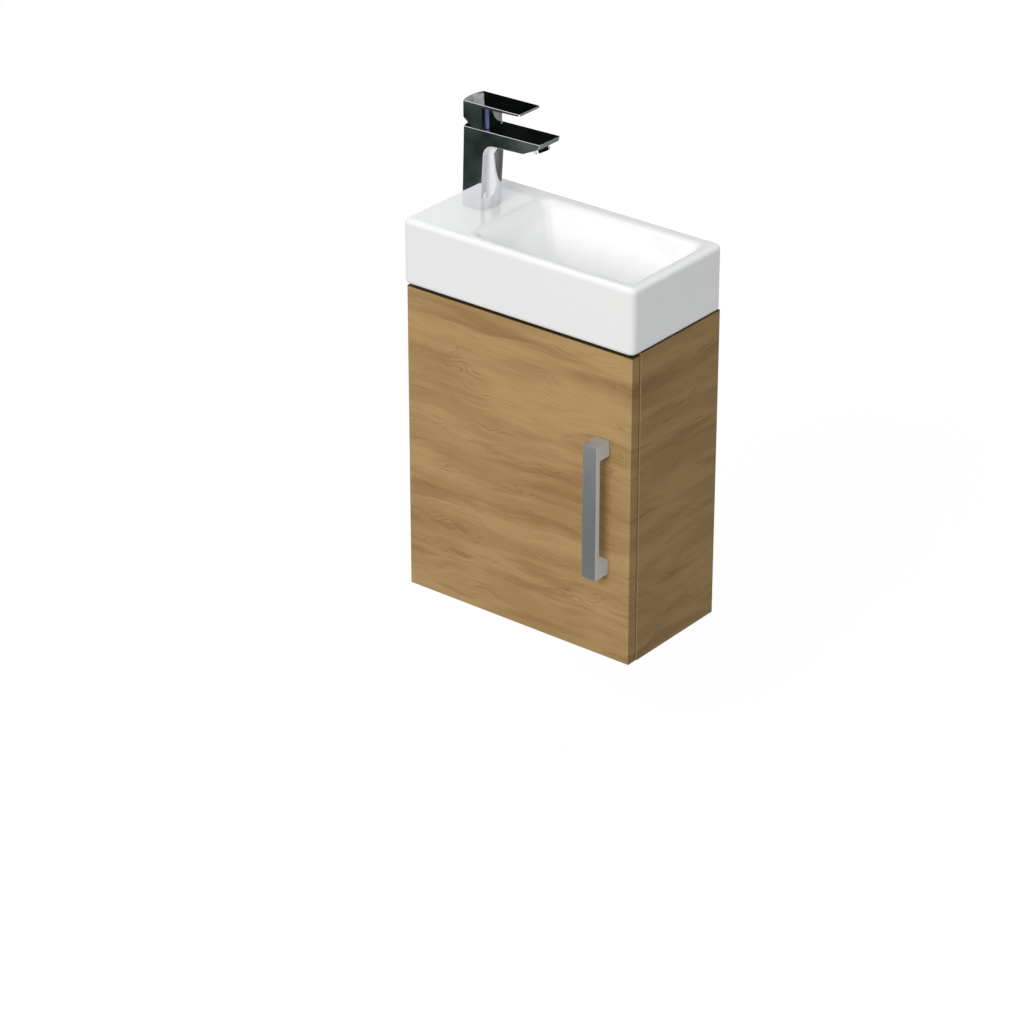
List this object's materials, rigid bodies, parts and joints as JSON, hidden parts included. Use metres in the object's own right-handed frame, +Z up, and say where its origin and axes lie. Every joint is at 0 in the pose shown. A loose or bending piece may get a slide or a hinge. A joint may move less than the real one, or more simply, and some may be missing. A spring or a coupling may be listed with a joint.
{
  "type": "vanity unit with basin",
  "caption": "Small wall-hung vanity unit: oak-decor cabinet with a hinged door and bar handle, white ceramic basin with a side tap deck and a chrome lever mixer tap.",
  "frame": {"origin": "on the wall plane, centred on the four wall-plate screw holes", "axes": "+X to the right seen from the front, +Y into the wall, +Z up; the door faces -Y"},
  "size_m": [0.405, 0.231, 0.7414],
  "materials": {
    "oak_decor": "satin decor foil with a sideways oak grain",
    "edge_band": "satin edging tape",
    "glazed_white": "glossy glaze",
    "chrome": "polished",
    "satin_nickel": "satin",
    "hinge_steel": "nickel plated",
    "zinc_steel": "zinc plated",
    "brass": "machined",
    "white_plastic": "moulded",
    "grey_plastic": "moulded",
    "rubber": "matt",
    "clear_silicone": "translucent silicone",
    "beech": "fluted dowel"
  },
  "bodies": {
    "carcass": {"aerator_insert": "white_plastic", "aerator_ring": "chrome", "arm_screws": "zinc_steel", "basin": "glazed_white", "bottom_panel": "oak_decor", "cam_bolts": "hinge_steel", "cam_locks": "zinc_steel", "cartridge": "grey_plastic", "cartridge_nut": "brass", "dowels": "beech", "edge_bands": "edge_band", "front_rail": "oak_decor", "hanger_adjusters": "zinc_steel", "hanger_hooks": "zinc_steel", "hanger_housings": "white_plastic", "hanger_screws": "zinc_steel", "hanging_rail": "oak_decor", "hinge_arms": "hinge_steel", "hinge_plates": "hinge_steel", "left_side_panel": "oak_decor", "lower_rail": "oak_decor", "plate_screws": "zinc_steel", "right_side_panel": "oak_decor", "sealing_strips": "clear_silicone", "tap_base_seal": "rubber", "tap_body": "chrome", "tap_nut": "brass", "tap_shoe_plate": "zinc_steel", "tap_shoe_rubber": "rubber", "tap_stud": "zinc_steel", "trap_bottle": "chrome", "trap_bottle_seal": "rubber", "trap_head": "chrome", "trap_neck_nut": "chrome", "trap_neck_seal": "rubber", "trap_outlet_nut": "chrome", "trap_outlet_seal": "rubber", "trap_pipe": "chrome", "trap_seal": "rubber", "trap_union_nut": "chrome", "wall_plates": "zinc_steel", "waste_body": "chrome", "waste_nut": "brass", "waste_seal": "rubber"},
    "outer_links": {"outer_links": "hinge_steel"},
    "inner_links": {"inner_links": "hinge_steel"},
    "door": {"door": "oak_decor", "handle": "satin_nickel", "handle_screws": "zinc_steel", "hinge_cups": "hinge_steel", "cup_screws": "zinc_steel", "door_bumpers": "clear_silicone"},
    "rotor": {"cartridge_rotor": "grey_plastic"},
    "lever": {"lever": "chrome", "lever_stem": "brass", "lever_grub_screw": "zinc_steel"},
    "plug": {"waste_plug": "chrome", "plug_stem": "brass", "plug_seal": "rubber"}
  },
  "joints": [
    {"name": "door_swing", "type": "hinge", "parent": "outer_links", "child": "door", "pos_m": [-0.18892, -0.1875, 0], "axis": [0, 0, -1], "range_deg": [0, 133.38]},
    {"name": "outer_link_swing", "type": "hinge", "parent": "carcass", "child": "outer_links", "pos_m": [-0.17046, -0.169, 0], "axis": [0, 0, 1], "range_deg": [0, 38.5]},
    {"name": "inner_link_swing", "type": "hinge", "parent": "carcass", "child": "inner_links", "pos_m": [-0.158, -0.18014, 0], "axis": [0, 0, 1], "range_deg": [0, 19.8]},
    {"name": "lever_turn", "type": "hinge", "parent": "carcass", "child": "rotor", "pos_m": [-0.144, -0.0955, 0.26], "axis": [0, 0, 1], "range_deg": [-45, 45]},
    {"name": "lever_lift", "type": "hinge", "parent": "rotor", "child": "lever", "pos_m": [-0.144, -0.0955, 0.267], "axis": [0, -1, 0], "range_deg": [0, 25]},
    {"name": "plug_rise", "type": "slide", "parent": "carcass", "child": "plug", "axis": [0, 0, 1], "range_m": [0, 0.006]}
  ],
  "couplings": [
    {"joint": "outer_link_swing", "follows": "door_swing", "ratio": 0.28775},
    {"joint": "inner_link_swing", "follows": "door_swing", "ratio": 0.14744}
  ]
}
